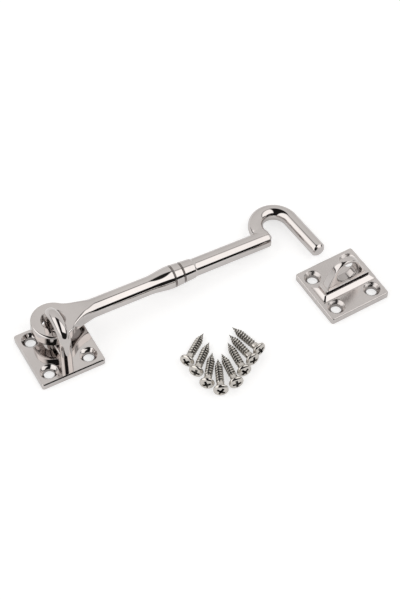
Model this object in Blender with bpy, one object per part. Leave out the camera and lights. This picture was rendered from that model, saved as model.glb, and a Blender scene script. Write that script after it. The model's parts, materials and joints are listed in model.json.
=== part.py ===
"""Hook and eye latch of polished nickel, laid out on a table.

The hook arm hangs by its ring from a staple on a square mounting plate. A second
plate carries the keeper eye that the hook drops into, and eight loose wood screws
lie between them. The origin is the middle of the hook plate's underside, +X runs
along the arm towards the hook, and +Z points up from the table.
"""

import math

import bmesh
import bpy
import numpy as np
from mathutils import Vector

MM = 0.001

# Mounting plates, both alike
PLATE_SIDE = 33.6 * MM
PLATE_THICKNESS = 3.6 * MM
PLATE_CORNER = 1.3 * MM
PLATE_CHAMFER = 0.5 * MM
HOLE_PITCH = 21.1 * MM

# Loose wood screws, and the holes that take them
SCREW_HEAD_DIAMETER = 7.4 * MM
SCREW_SHANK_DIAMETER = 4.1 * MM
SCREW_LENGTH = 21.2 * MM
SCREW_HEAD_RISE = 1.3 * MM
SCREW_RIM = 0.35 * MM
SCREW_POINT = 5.0 * MM
SCREW_TIP = 0.5 * MM
RECESS_WIDTH = 0.9 * MM
RECESS_SPAN = 3.6 * MM
RECESS_DEPTH = 1.3 * MM
SCREW_HOLE_CLEARANCE = 1.3 * MM
SCREW_HEAD_CLEARANCE = 1.1 * MM

# Staple of the hook plate, a round bar bent to a bow over a low web
WEB_HEIGHT = 4.0 * MM
STAPLE_BAR_DIAMETER = 5.9 * MM
STAPLE_BEND_RADIUS = 8.5 * MM
STAPLE_HEIGHT = 25.2 * MM
STAPLE_WEB_THICKNESS = 5.3 * MM
SEAT_GAP = 0.3 * MM

# Keeper eye, a flat loop that thins towards its crown
EYE_SHIFT = 0.95 * MM
EYE_FOOT_LENGTH = 26.3 * MM
EYE_FOOT_THICKNESS = 5.8 * MM
EYE_BLOCK_THICKNESS = 6.5 * MM
EYE_BLOCK_FILLET = 3.0 * MM
EYE_END_FILLET = 1.2 * MM
EYE_BLOCK_OVERHANG = 0.15 * MM
EYE_BLOCK_ROUND = 0.8 * MM
EYE_CROWN_THICKNESS = 3.6 * MM
EYE_HEIGHT = 17.7 * MM
EYE_CROWN_RADIUS = 7.8 * MM
EYE_BAR_WIDTH = 2.0 * MM
EYE_EDGE_ROUND = 1.3 * MM
EYE_HOLE_ROUND = 0.6 * MM

# Machine screws that hold the staple and the eye from behind their plates
FIXING_DIAMETER = 3.0 * MM
FIXING_HEAD_DIAMETER = 5.4 * MM
EYE_FIXING_INSET = 5.15 * MM
FIXING_REACH = 4.2 * MM
FIXING_SOCKET = 2.0 * MM
FIXING_SOCKET_DEPTH = 0.9 * MM
FIXING_CLEARANCE = 0.3 * MM

# Hook arm, measured from the middle of its ring
RING_RADIUS = 11.1 * MM
RING_HOLE_RADIUS = 5.9 * MM
RING_THICKNESS = 6.6 * MM
RING_EDGE_ROUND = 1.0 * MM
RING_HOLE_ROUND = 0.5 * MM
RING_CLEARANCE = 0.6 * MM
RING_SHIFT = (1.35 * MM, -0.1 * MM)
NECK_FILLET = 15.0 * MM
ROD_LENGTH = 120.3 * MM
ROD_DIAMETER = 9.5 * MM
ROD_TIP_DIAMETER = 9.0 * MM
ROD_END_ROUND = 0.6 * MM
BEAD_START = 51.5 * MM
BEAD_PEAK = 64.4 * MM
BEAD_DIAMETER = 11.8 * MM
GROOVE_SPACING = 5.2 * MM
GROOVE_WIDTH = 1.1 * MM
GROOVE_DEPTH = 0.6 * MM
COLLAR_LENGTH = 6.4 * MM
COLLAR_DIAMETER = 11.0 * MM
COLLAR_TAPER = 0.6 * MM
COLLAR_EDGE = 0.3 * MM
HOOK_DIAMETER = 7.8 * MM
HOOK_LEG_SETBACK = 2.5 * MM
HOOK_BEND_RADIUS = 9.7 * MM
HOOK_BEND_OFFSET = 5.0 * MM
HOOK_PRONG_REACH = 19.3 * MM
HOOK_PRONG_LEAN = 5.0
HOOK_TIP_CHAMFER = 1.0 * MM
ARM_YAW = 1.0

# Keeper plate's place on the table
KEEPER_PLACE = (140.5 * MM, -31.1 * MM)
KEEPER_TURN = 3.0

# Loose screws: head centre x and y, and the heading of the point, in mm and degrees
SCREW_PLACES = (
    (50.6, -36.3, 38.1),
    (51.6, -43.7, 43.2),
    (52.8, -52.3, 53.9),
    (56.8, -58.9, 65.6),
    (65.3, -58.6, 82.0),
    (72.0, -54.3, 84.7),
    (78.7, -50.5, 95.7),
    (84.4, -46.9, 102.1),
)

# Facets
ROUND_STEPS = 40
SMALL_STEPS = 24
CROWN_STEPS = 18
FLANK_STEPS = 5
FOOT_STEPS = 10
FILLET_STEPS = 5
TUBE_STEPS = 24
BEND_STEPS = 18
ROD_STEPS = 32

# Colours
NICKEL = (0.70, 0.66, 0.64, 1.0)
SCREW_NICKEL = (0.66, 0.64, 0.58, 1.0)
STEEL = (0.55, 0.55, 0.54, 1.0)


def clear_scene():
    """Remove every object of the open scene."""
    for item in list(bpy.data.objects):
        bpy.data.objects.remove(item, do_unlink=True)


def metal(name, colour, roughness):
    """Return a polished metal material."""
    material = bpy.data.materials.new(name)
    material.use_nodes = True
    shader = material.node_tree.nodes["Principled BSDF"]
    shader.inputs["Base Color"].default_value = colour
    shader.inputs["Metallic"].default_value = 1.0
    shader.inputs["Roughness"].default_value = roughness
    return material


def anchor(name, place=(0.0, 0.0, 0.0), turn=0.0):
    """Return an empty that carries one mounting."""
    empty = bpy.data.objects.new(name, None)
    empty.location = place
    empty.rotation_euler = (0.0, 0.0, math.radians(turn))
    bpy.context.collection.objects.link(empty)
    return empty


def add_object(name, shape, parent=None, material=None):
    """Turn a bmesh into a named object with its faces pointing out."""
    bmesh.ops.recalc_face_normals(shape, faces=shape.faces)
    mesh = bpy.data.meshes.new(name)
    shape.to_mesh(mesh)
    shape.free()
    item = bpy.data.objects.new(name, mesh)
    bpy.context.collection.objects.link(item)
    item.parent = parent
    if material:
        mesh.materials.append(material)
        mesh.shade_smooth()
        mesh.set_sharp_from_angle(angle=math.radians(35))
    return item


def hidden_tool(name, shape, parent=None):
    """Return a shape that only cuts or joins another."""
    item = add_object(name, shape, parent)
    item.hide_render = True
    item.display_type = "WIRE"
    return item


def combine(item, tool, operation):
    """Cut or join an object with a hidden tool."""
    step = item.modifiers.new(tool.name, "BOOLEAN")
    step.operation = operation
    step.object = tool
    step.solver = "EXACT"


def skin(rings, closed_ends=True):
    """Return a bmesh that joins rings of points, all of one count, into a skin."""
    shape = bmesh.new()
    loops = []
    for ring in rings:
        loops.append([shape.verts.new(point) for point in ring])
    count = len(loops[0])
    for first, second in zip(loops, loops[1:]):
        for index in range(count):
            after = (index + 1) % count
            shape.faces.new((first[index], first[after], second[after], second[index]))
    if closed_ends:
        shape.faces.new(loops[0])
        shape.faces.new(reversed(loops[-1]))
    return shape


def turned(profile, steps):
    """Return a bmesh turned about Z from (radius, height) points, bottom to top.

    A first or last radius of zero ends the shape in a point, and any other ends it
    in a flat face.
    """
    angles = np.linspace(0.0, 2.0 * math.pi, steps, endpoint=False)
    rings = []
    for radius, height in profile:
        if radius > 0.0:
            ring = np.column_stack((radius * np.cos(angles), radius * np.sin(angles),
                                    np.full(steps, height)))
            rings.append(ring)
    shape = skin(rings, closed_ends=False)
    shape.verts.ensure_lookup_table()
    ends = ((profile[0], shape.verts[:steps]), (profile[-1], shape.verts[-steps:]))
    for (radius, height), loop in ends:
        if radius > 0.0:
            shape.faces.new(loop)
            continue
        point = shape.verts.new((0.0, 0.0, height))
        for index in range(steps):
            shape.faces.new((loop[index], loop[(index + 1) % steps], point))
    return shape


def rounded_profile(radius, low, high, corner, steps=3):
    """Return a flat disc's profile whose two rims are rounded."""
    sweep = np.linspace(0.0, math.pi / 2.0, steps + 1)
    lower = [(radius - corner + corner * math.sin(turn), low + corner - corner * math.cos(turn))
             for turn in sweep]
    upper = [(radius - corner + corner * math.cos(turn), high - corner + corner * math.sin(turn))
             for turn in sweep]
    return lower + upper


def moved(shape, offset):
    """Shift a bmesh and return it."""
    bmesh.ops.translate(shape, verts=shape.verts, vec=Vector(offset))
    return shape


def plate_outline(half, corner, steps=3):
    """Return the points of a square with rounded corners."""
    points = []
    for quarter in range(4):
        start = quarter * math.pi / 2.0
        middle = start + math.pi / 4.0
        reach = (half - corner) * math.sqrt(2.0)
        centre = (reach * math.cos(middle), reach * math.sin(middle))
        for turn in np.linspace(start, start + math.pi / 2.0, steps + 1):
            points.append((centre[0] + corner * math.cos(turn),
                           centre[1] + corner * math.sin(turn)))
    return points


def add_plate(name, parent, material, seat):
    """Add a mounting plate with four countersunk holes and two from behind."""
    half = PLATE_SIDE / 2.0
    full = plate_outline(half, PLATE_CORNER)
    inset = plate_outline(half - PLATE_CHAMFER, PLATE_CORNER - PLATE_CHAMFER)
    shoulder = PLATE_THICKNESS - PLATE_CHAMFER
    levels = ((full, 0.0), (full, shoulder), (inset, PLATE_THICKNESS))
    rings = [[(x, y, height) for x, y in outline] for outline, height in levels]
    plate = add_object(name, skin(rings), parent, material)

    hole = (SCREW_SHANK_DIAMETER + SCREW_HOLE_CLEARANCE) / 2.0
    rim = (SCREW_HEAD_DIAMETER + SCREW_HEAD_CLEARANCE) / 2.0
    spare = PLATE_THICKNESS
    profile = ((hole, -spare), (hole, PLATE_THICKNESS - (rim - hole)),
               (rim + spare, PLATE_THICKNESS + spare))
    for side_x in (-1, 1):
        for side_y in (-1, 1):
            tool = turned(profile, SMALL_STEPS)
            place = (side_x * HOLE_PITCH / 2.0, side_y * HOLE_PITCH / 2.0, 0.0)
            label = f"{name}_hole_{side_x}_{side_y}"
            combine(plate, hidden_tool(label, moved(tool, place), parent), "DIFFERENCE")

    bore = FIXING_DIAMETER / 2.0 + FIXING_CLEARANCE
    sink = FIXING_HEAD_DIAMETER / 2.0 + FIXING_CLEARANCE
    profile = ((sink + spare, -spare), (bore, sink - bore), (bore, PLATE_THICKNESS + spare))
    for side in (-1, 1):
        tool = moved(turned(profile, SMALL_STEPS), fixing_place(seat, side))
        combine(plate, hidden_tool(f"{name}_bore_{side}", tool, parent), "DIFFERENCE")
    return plate


def fixing_place(seat, side):
    """Return where one of a seat's two machine screws stands on the plate.

    A seat is (shift along the plate's x, turn in radians, spacing of the screws).
    """
    shift, turn, spacing = seat
    along = side * spacing / 2.0
    return shift + along * math.cos(turn), along * math.sin(turn), 0.0


def eye_outline():
    """Return the eye's outer outline as (along, height) points.

    Two straight flanks lean in from the ends of the foot and run tangent into the
    round crown. The points start at the foot's left end and run anticlockwise.
    """
    half = EYE_FOOT_LENGTH / 2.0
    crown_radius = EYE_CROWN_RADIUS
    middle = EYE_HEIGHT - crown_radius
    distance = math.hypot(half, middle)
    length = math.sqrt(distance ** 2 - crown_radius ** 2)
    lean = math.atan2(middle, -half) - math.asin(crown_radius / distance)
    touch = np.array((half + length * math.cos(lean), length * math.sin(lean)))
    start = math.atan2(touch[1] - middle, touch[0])
    foot = [(x, 0.0) for x in np.linspace(-half, half, FOOT_STEPS + 1)[:-1]]
    corner = np.array((half, 0.0))
    right = [tuple(corner + (touch - corner) * share)
             for share in np.linspace(0.0, 1.0, FLANK_STEPS + 1)[:-1]]
    crown = [(crown_radius * math.cos(turn), middle + crown_radius * math.sin(turn))
             for turn in np.linspace(start, math.pi - start, CROWN_STEPS + 1)]
    left = [(-x, z) for x, z in reversed(right)]
    return foot + right + crown + left[:-1]


def slot_point(point, radius, low, high):
    """Return where the ray from a slot's middle to a point leaves the slot."""
    centre = (low + high) / 2.0
    reach = (high - low) / 2.0
    direction = np.array((point[0], point[1] - centre))
    direction /= np.linalg.norm(direction)
    if abs(direction[0]) > 1e-9:
        rise = direction[1] * radius / abs(direction[0])
        if abs(rise) <= reach:
            return math.copysign(radius, direction[0]), centre + rise
    end = math.copysign(reach, direction[1])
    along = direction[1] * end + math.sqrt(radius ** 2 - (direction[0] * end) ** 2)
    return along * direction[0], centre + along * direction[1]


def eye_half_thickness(height):
    """Return half the eye's thickness, which falls evenly from foot to crown."""
    share = height / EYE_HEIGHT
    return (EYE_FOOT_THICKNESS * (1.0 - share) + EYE_CROWN_THICKNESS * share) / 2.0


def eye_shape():
    """Return the eye standing in the XZ plane, its foot at z = 0.

    The hole is a slot of the crown's inner radius, down to the web over the foot.
    """
    outline = eye_outline()
    hole_radius = EYE_CROWN_RADIUS - EYE_BAR_WIDTH
    high = EYE_HEIGHT - EYE_CROWN_RADIUS
    low = min(WEB_HEIGHT + hole_radius, high)
    hole = [slot_point(point, hole_radius, low, high) for point in outline]
    shape = bmesh.new()
    count = len(outline)
    loops = {}
    for label, points in (("outer", outline), ("hole", hole)):
        for side in (-1, 1):
            loops[label, side] = [shape.verts.new((x, side * eye_half_thickness(z), z))
                                  for x, z in points]
    walls = ((("outer", -1), ("outer", 1)), (("hole", -1), ("hole", 1)),
             (("outer", -1), ("hole", -1)), (("outer", 1), ("hole", 1)))
    for first, second in walls:
        for index in range(count):
            after = (index + 1) % count
            shape.faces.new((loops[first][index], loops[first][after],
                             loops[second][after], loops[second][index]))
    bmesh.ops.recalc_face_normals(shape, faces=shape.faces)
    for label, width, segments in (("outer", EYE_EDGE_ROUND, 3), ("hole", EYE_HOLE_ROUND, 2)):
        edges = []
        for side in (-1, 1):
            rim = loops[label, side]
            for index in range(count):
                pair = (rim[index], rim[(index + 1) % count])
                on_foot = label == "outer" and max(vert.co.z for vert in pair) < 1e-6
                if not on_foot:
                    edges.append(shape.edges.get(pair))
        bmesh.ops.bevel(shape, geom=edges, offset=width, segments=segments, profile=0.5,
                        affect="EDGES", clamp_overlap=True)
    return shape


def block_ring(spread, height):
    """Return the eye's foot block in plan, spread by a share of its two fillets."""
    half_x = EYE_FOOT_LENGTH / 2.0 + EYE_BLOCK_OVERHANG + EYE_END_FILLET * (spread - 1.0)
    half_y = EYE_BLOCK_THICKNESS / 2.0 + EYE_BLOCK_FILLET * spread
    corner = EYE_BLOCK_ROUND
    points = []
    for quarter, (side_x, side_y) in enumerate(((1, 1), (-1, 1), (-1, -1), (1, -1))):
        start = quarter * math.pi / 2.0
        for turn in np.linspace(start, start + math.pi / 2.0, 3):
            points.append((side_x * (half_x - corner) + corner * math.cos(turn),
                           side_y * (half_y - corner) + corner * math.sin(turn), height))
    return points


def block_shape():
    """Return the block under the eye, which spreads to its plate in a quarter round."""
    rings = []
    for turn in np.linspace(0.0, math.pi / 2.0, FILLET_STEPS + 1):
        rings.append(block_ring(1.0 - math.sin(turn), EYE_BLOCK_FILLET * (1.0 - math.cos(turn))))
    rings.append(block_ring(0.0, WEB_HEIGHT - SEAT_GAP))
    return skin(rings)


def tube(points, tangents, radii, flat_axis, steps):
    """Return a round bar carried along a plane path.

    Args:
        points: centre points of the sections.
        tangents: unit directions of the path at those points.
        radii: radius of each section.
        flat_axis: unit normal of the path's plane.
        steps: facets round the bar.
    """
    angles = np.linspace(0.0, 2.0 * math.pi, steps, endpoint=False)
    rings = []
    for point, tangent, radius in zip(points, tangents, radii):
        side = np.cross(tangent, flat_axis)
        rings.append(np.asarray(point) + radius * np.outer(np.cos(angles), side)
                     + radius * np.outer(np.sin(angles), flat_axis))
    return skin(rings)


def staple_shape():
    """Return the staple's bow: two upright legs and half a turn, in the XZ plane."""
    bend = STAPLE_BEND_RADIUS
    radius = STAPLE_BAR_DIAMETER / 2.0
    middle = STAPLE_HEIGHT - radius - bend
    points = [(-bend, 0.0, 0.0)]
    tangents = [(0.0, 0.0, 1.0)]
    for turn in np.linspace(math.pi, 0.0, CROWN_STEPS + 1):
        points.append((bend * math.cos(turn), 0.0, middle + bend * math.sin(turn)))
        tangents.append((math.sin(turn), 0.0, -math.cos(turn)))
    points.append((bend, 0.0, 0.0))
    tangents.append((0.0, 0.0, -1.0))
    return tube(points, tangents, [radius] * len(points), (0.0, 1.0, 0.0), TUBE_STEPS)


def web_shape():
    """Return the staple's web, a low bar between the two legs."""
    half = STAPLE_WEB_THICKNESS / 2.0
    end = STAPLE_BEND_RADIUS
    corners = ((-end, -half), (end, -half), (end, half), (-end, half))
    rings = [[(x, y, height) for x, y in corners] for height in (0.0, WEB_HEIGHT)]
    return skin(rings)


def seat_loop(loop, seat):
    """Stand a staple or an eye on its plate and drill its two blind holes."""
    shift, turn, spacing = seat
    loop.location = (shift, 0.0, PLATE_THICKNESS + SEAT_GAP)
    loop.rotation_euler = (0.0, 0.0, turn)
    bore = FIXING_DIAMETER / 2.0 + FIXING_CLEARANCE
    depth = FIXING_REACH + FIXING_CLEARANCE
    for side in (-1, 1):
        tool = turned(((bore, -WEB_HEIGHT), (bore, depth - SEAT_GAP)), SMALL_STEPS)
        tool = moved(tool, (side * spacing / 2.0, 0.0, 0.0))
        combine(loop, hidden_tool(f"{loop.name}_bore_{side}", tool, loop), "DIFFERENCE")


def add_fixing(name, parent, material, place):
    """Add a countersunk machine screw whose head lies flush behind the plate."""
    head = FIXING_HEAD_DIAMETER / 2.0
    shank = FIXING_DIAMETER / 2.0
    lead = 0.15 * FIXING_DIAMETER
    tip = PLATE_THICKNESS + FIXING_REACH
    profile = ((head, 0.0), (shank, head - shank), (shank, tip - lead), (shank - lead, tip))
    screw = add_object(name, turned(profile, SMALL_STEPS), parent, material)
    screw.location = place
    socket = turned(((FIXING_SOCKET / 2.0, -FIXING_SOCKET_DEPTH),
                     (FIXING_SOCKET / 2.0, FIXING_SOCKET_DEPTH)), 6)
    combine(screw, hidden_tool(f"{name}_socket", socket, screw), "DIFFERENCE")
    return screw


def add_mounting(parent, metals, plate_name, loop, seat):
    """Add one plate under its staple or eye, with the two screws behind it."""
    add_plate(plate_name, parent, metals["nickel"], seat)
    seat_loop(loop, seat)
    for number, side in ((1, -1), (2, 1)):
        add_fixing(f"{loop.name}_fixing_{number}", parent, metals["steel"],
                   fixing_place(seat, side))


def smooth_step(value):
    """Return a soft ramp from 0 to 1."""
    value = min(max(value, 0.0), 1.0)
    return value * value * (3.0 - 2.0 * value)


def rod_radius(along):
    """Return the rod's plain radius at a distance from the ring's middle."""
    share = along / ROD_LENGTH
    return (ROD_DIAMETER * (1.0 - share) + ROD_TIP_DIAMETER * share) / 2.0


def arm_section(along):
    """Return half width, half height and roundness of the arm at one place."""
    radius = rod_radius(along)
    fillet_place = math.sqrt((RING_RADIUS + NECK_FILLET) ** 2 - (radius + NECK_FILLET) ** 2)
    width = radius
    height = radius
    power = 2.0
    if along < fillet_place:
        drop = math.sqrt(NECK_FILLET ** 2 - (fillet_place - along) ** 2)
        width = radius + NECK_FILLET - drop
        rise = smooth_step((along - RING_HOLE_RADIUS) / (fillet_place - RING_HOLE_RADIUS))
        flat = 0.94 * RING_THICKNESS / 2.0
        height = flat + (radius - flat) * rise
        power = 4.0 - 2.0 * rise
    return width, height, power


def bead_profile():
    """Return the bead's (place, radius) points: swell, two grooves and a collar."""
    peak = BEAD_DIAMETER / 2.0
    points = []
    for share in np.linspace(0.0, 1.0, 9)[1:]:
        place = BEAD_START + share * (BEAD_PEAK - BEAD_START)
        base = rod_radius(place)
        points.append((place, base + (peak - base) * smooth_step(share)))
    half = GROOVE_WIDTH / 2.0
    collar = COLLAR_DIAMETER / 2.0
    first = BEAD_PEAK + half
    second = first + GROOVE_SPACING
    end = second + COLLAR_LENGTH
    points.append((first, peak - GROOVE_DEPTH))
    points.append((first + half, peak))
    points.append((second - half, (peak + collar) / 2.0))
    points.append((second, collar - GROOVE_DEPTH))
    points.append((second + half, collar))
    points.append((end, collar - COLLAR_TAPER))
    points.append((end + COLLAR_EDGE, rod_radius(end)))
    return points


def arm_body():
    """Return the neck, rod and bead as one skin of sections along +X.

    Each section is a superellipse in YZ: nearly a rounded slab where it leaves the
    ring and a circle along the rod.
    """
    neck_end = math.sqrt((RING_RADIUS + NECK_FILLET) ** 2
                         - (rod_radius(0.0) + NECK_FILLET) ** 2)
    neck_start = RING_HOLE_RADIUS + 0.22 * (RING_RADIUS - RING_HOLE_RADIUS)
    sections = [(place,) + arm_section(place)
                for place in np.linspace(neck_start, neck_end, 9)]
    sections.append((BEAD_START,) + arm_section(BEAD_START))
    sections += [(place, radius, radius, 2.0) for place, radius in bead_profile()]
    end = rod_radius(ROD_LENGTH)
    sections.append((ROD_LENGTH - ROD_END_ROUND, end, end, 2.0))
    sections.append((ROD_LENGTH - 0.3 * ROD_END_ROUND, end - 0.3 * ROD_END_ROUND,
                     end - 0.3 * ROD_END_ROUND, 2.0))
    sections.append((ROD_LENGTH, end - ROD_END_ROUND, end - ROD_END_ROUND, 2.0))
    angles = np.linspace(0.0, 2.0 * math.pi, ROD_STEPS, endpoint=False)
    cosine, sine = np.cos(angles), np.sin(angles)
    rings = []
    for place, width, height, power in sections:
        across = width * np.sign(cosine) * np.abs(cosine) ** (2.0 / power)
        upward = height * np.sign(sine) * np.abs(sine) ** (2.0 / power)
        rings.append(np.column_stack((np.full(ROD_STEPS, place), across, upward)))
    return skin(rings)


def hook_path():
    """Return the hook's flat centre line as (points, tangents)."""
    leg = ROD_LENGTH - HOOK_LEG_SETBACK
    centre = np.array((leg + HOOK_BEND_RADIUS, HOOK_BEND_OFFSET, 0.0))
    lean = math.radians(HOOK_PRONG_LEAN)
    points = [np.array((leg, 0.0, 0.0))]
    tangents = [np.array((0.0, 1.0, 0.0))]
    for turn in np.linspace(math.pi, lean, BEND_STEPS + 1):
        outward = np.array((math.cos(turn), math.sin(turn), 0.0))
        points.append(centre + HOOK_BEND_RADIUS * outward)
        tangents.append(np.array((outward[1], -outward[0], 0.0)))
    run = (points[-1][1] + HOOK_PRONG_REACH) / math.cos(lean)
    for back in (HOOK_TIP_CHAMFER, 0.0):
        points.append(points[BEND_STEPS + 1] + tangents[BEND_STEPS + 1] * (run - back))
        tangents.append(tangents[BEND_STEPS + 1])
    return points, tangents


def hook_shape():
    """Return the bent hook as a round bar carried along its centre line."""
    points, tangents = hook_path()
    radii = [HOOK_DIAMETER / 2.0] * len(points)
    radii[-1] -= HOOK_TIP_CHAMFER
    return tube(points, tangents, radii, (0.0, 0.0, 1.0), TUBE_STEPS)


def arm_drop():
    """Return the ring's height over the table and the arm's downward pitch.

    The ring rests over the web of the staple and the hook rests on the table.
    """
    radius = HOOK_DIAMETER / 2.0
    far = ROD_LENGTH - HOOK_LEG_SETBACK + 2.0 * HOOK_BEND_RADIUS
    height = (PLATE_THICKNESS + SEAT_GAP + WEB_HEIGHT + RING_CLEARANCE
              + RING_THICKNESS / 2.0)
    return height, math.asin((height - radius - SEAT_GAP) / far)


def add_arm(material):
    """Add the hook arm on its pivot, the upright through the staple's back leg."""
    height, pitch = arm_drop()
    pivot = anchor("arm_pivot", (0.0, STAPLE_BEND_RADIUS, height))
    thickness = RING_THICKNESS / 2.0
    profile = rounded_profile(RING_RADIUS, -thickness, thickness, RING_EDGE_ROUND)
    arm = add_object("hook_arm", turned(profile, ROUND_STEPS), pivot, material)
    arm.location = (RING_SHIFT[0], RING_SHIFT[1], 0.0)
    arm.rotation_euler = (0.0, pitch, math.radians(ARM_YAW))
    combine(arm, hidden_tool("arm_body", arm_body(), arm), "UNION")
    combine(arm, hidden_tool("arm_hook", hook_shape(), arm), "UNION")
    half = thickness + RING_EDGE_ROUND
    edge = RING_HOLE_ROUND
    bore = turned(((RING_HOLE_RADIUS + edge + RING_EDGE_ROUND, -half),
                   (RING_HOLE_RADIUS, -thickness + edge), (RING_HOLE_RADIUS, thickness - edge),
                   (RING_HOLE_RADIUS + edge + RING_EDGE_ROUND, half)), ROUND_STEPS)
    combine(arm, hidden_tool("arm_bore", bore, arm), "DIFFERENCE")
    return arm


def screw_profile():
    """Return a wood screw's (radius, height) profile, point down, rim at z = 0."""
    head = SCREW_HEAD_DIAMETER / 2.0
    shank = SCREW_SHANK_DIAMETER / 2.0
    cone = head - shank
    base = SCREW_HEAD_RISE - SCREW_LENGTH
    dome = [(head * math.cos(turn), SCREW_HEAD_RISE * math.sin(turn))
            for turn in np.linspace(0.0, math.pi / 2.0, 5)]
    dome[-1] = (0.0, SCREW_HEAD_RISE)
    return [(0.0, base), (0.35 * shank, base + SCREW_TIP), (0.9 * shank, base + SCREW_POINT),
            (shank, base + 1.4 * SCREW_POINT), (shank, -SCREW_RIM - cone),
            (head, -SCREW_RIM)] + dome


def recess_shape():
    """Return the cross recess of a screw head as one star-shaped prism."""
    half = RECESS_WIDTH / 2.0
    span = RECESS_SPAN / 2.0
    corner = ((half, half), (half, span), (-half, span), (-half, half))
    outline = []
    for quarter in range(4):
        turn = quarter * math.pi / 2.0
        for x, y in corner[:3]:
            outline.append((x * math.cos(turn) - y * math.sin(turn),
                            x * math.sin(turn) + y * math.cos(turn)))
    floor = SCREW_HEAD_RISE - RECESS_DEPTH
    levels = ((0.55, floor), (1.0, SCREW_HEAD_RISE + RECESS_DEPTH))
    rings = [[(x * size, y * size, height) for x, y in outline] for size, height in levels]
    return skin(rings)


def add_screws(material):
    """Add the loose wood screws, each lying on its head's rim and its point."""
    head = SCREW_HEAD_DIAMETER / 2.0
    reach = SCREW_LENGTH - SCREW_HEAD_RISE
    tilt = math.asin((head - 0.3 * SCREW_SHANK_DIAMETER) / reach)
    for number, (x, y, heading) in enumerate(SCREW_PLACES, start=1):
        screw = add_object(f"screw_{number}", turned(screw_profile(), SMALL_STEPS),
                           None, material)
        screw.location = (x * MM, y * MM, head * math.cos(tilt) + SCREW_RIM * math.sin(tilt))
        screw.rotation_euler = (0.0, tilt - math.pi / 2.0, math.radians(heading))
        combine(screw, hidden_tool(f"screw_recess_{number}", recess_shape(), screw),
                "DIFFERENCE")


def build():
    """Build the whole latch."""
    clear_scene()
    metals = {
        "nickel": metal("polished_nickel", NICKEL, 0.06),
        "screw": metal("screw_nickel", SCREW_NICKEL, 0.16),
        "steel": metal("fixing_steel", STEEL, 0.3),
    }
    hook_mounting = anchor("hook_mounting")
    keeper_mounting = anchor("keeper_mounting", KEEPER_PLACE + (0.0,), KEEPER_TURN)
    staple = add_object("hook_staple", staple_shape(), hook_mounting, metals["nickel"])
    combine(staple, hidden_tool("staple_web", web_shape(), staple), "UNION")
    add_mounting(hook_mounting, metals, "hook_plate", staple,
                 (0.0, math.pi / 2.0, 2.0 * STAPLE_BEND_RADIUS))
    eye = add_object("keeper_eye", eye_shape(), keeper_mounting, metals["nickel"])
    combine(eye, hidden_tool("eye_block", block_shape(), eye), "UNION")
    add_mounting(keeper_mounting, metals, "keeper_plate", eye,
                 (EYE_SHIFT, 0.0, EYE_FOOT_LENGTH - 2.0 * EYE_FIXING_INSET))
    add_arm(metals["nickel"])
    add_screws(metals["screw"])


build()
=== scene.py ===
"""Looks of a hook and eye latch of polished nickel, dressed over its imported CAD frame.

Every piece is a surface worked out with numpy in the row frame: the origin is the
middle of the hook plate's underside, +X runs along the arm and +Z points up from the
table. The loose arm rides on its own body, and all other pieces ride on the mounting.
"""

import json
import logging
import math
from dataclasses import dataclass
from enum import Enum

import bmesh
import bpy
import numpy as np
from mathutils import Euler, Matrix, Vector


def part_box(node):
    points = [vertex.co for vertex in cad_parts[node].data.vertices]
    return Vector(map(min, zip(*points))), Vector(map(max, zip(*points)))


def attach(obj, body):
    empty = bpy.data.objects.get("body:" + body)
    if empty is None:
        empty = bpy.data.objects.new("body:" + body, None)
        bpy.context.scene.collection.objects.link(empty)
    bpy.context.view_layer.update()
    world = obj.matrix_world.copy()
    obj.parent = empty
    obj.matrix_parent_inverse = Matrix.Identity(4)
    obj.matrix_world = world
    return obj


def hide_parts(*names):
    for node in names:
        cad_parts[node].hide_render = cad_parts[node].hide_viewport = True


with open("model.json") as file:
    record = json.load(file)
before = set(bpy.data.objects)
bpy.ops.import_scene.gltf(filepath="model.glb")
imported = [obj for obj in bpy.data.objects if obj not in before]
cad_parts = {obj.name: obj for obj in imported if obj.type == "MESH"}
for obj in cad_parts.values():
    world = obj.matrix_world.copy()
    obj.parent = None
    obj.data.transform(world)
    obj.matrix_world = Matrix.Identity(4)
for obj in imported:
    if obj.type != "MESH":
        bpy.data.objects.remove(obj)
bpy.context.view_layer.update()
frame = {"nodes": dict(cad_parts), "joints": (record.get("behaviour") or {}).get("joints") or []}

MM = 0.001
HOOK_BORES = ((0.0, -8.5), (0.0, 8.5))
KEEPER_BORES = ((-7.05, 0.0), (8.95, 0.0))
KEEPER_TURN = math.radians(3.0)
LOG = logging.getLogger("latch")


class Body(Enum):
    """The CAD bodies that pieces ride on."""

    MOUNTING = "mounting"
    ARM = "arm"


class Slot(Enum):
    """The record's material slots."""

    NICKEL = "polished_nickel"
    SCREW = "screw_nickel"
    STEEL = "fixing_steel"


class Cut(Enum):
    """How one closed shape acts on another."""

    REMOVE = "DIFFERENCE"
    ADD = "UNION"


# Surfaces


@dataclass
class Skin:
    """A surface of quads, with two numbers for each point that its finish reads.

    Attributes:
        points: (count, 3) places, in metres.
        faces: (count, 4) point numbers.
        lay: (count,) millimetres across the polishing lines.
        recess: (count,) 0 on open metal and 1 deep in a groove or a hole.
    """

    points: np.ndarray
    faces: np.ndarray
    lay: np.ndarray
    recess: np.ndarray

    def moved(self, matrix: Matrix) -> "Skin":
        """Carry the skin by a matrix.

        Args:
            matrix: a 4 by 4 matrix.

        Returns:
            The carried skin.
        """
        turn = np.array(matrix)
        return Skin(self.points @ turn[:3, :3].T + turn[:3, 3], self.faces, self.lay, self.recess)

    def mirrored(self, signs: tuple[int, int, int]) -> "Skin":
        """Mirror the skin in the planes through the origin.

        Args:
            signs: -1 for each axis that changes side, otherwise 1.

        Returns:
            The mirrored skin.
        """
        return Skin(self.points * np.array(signs), self.faces, self.lay, self.recess)


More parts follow.
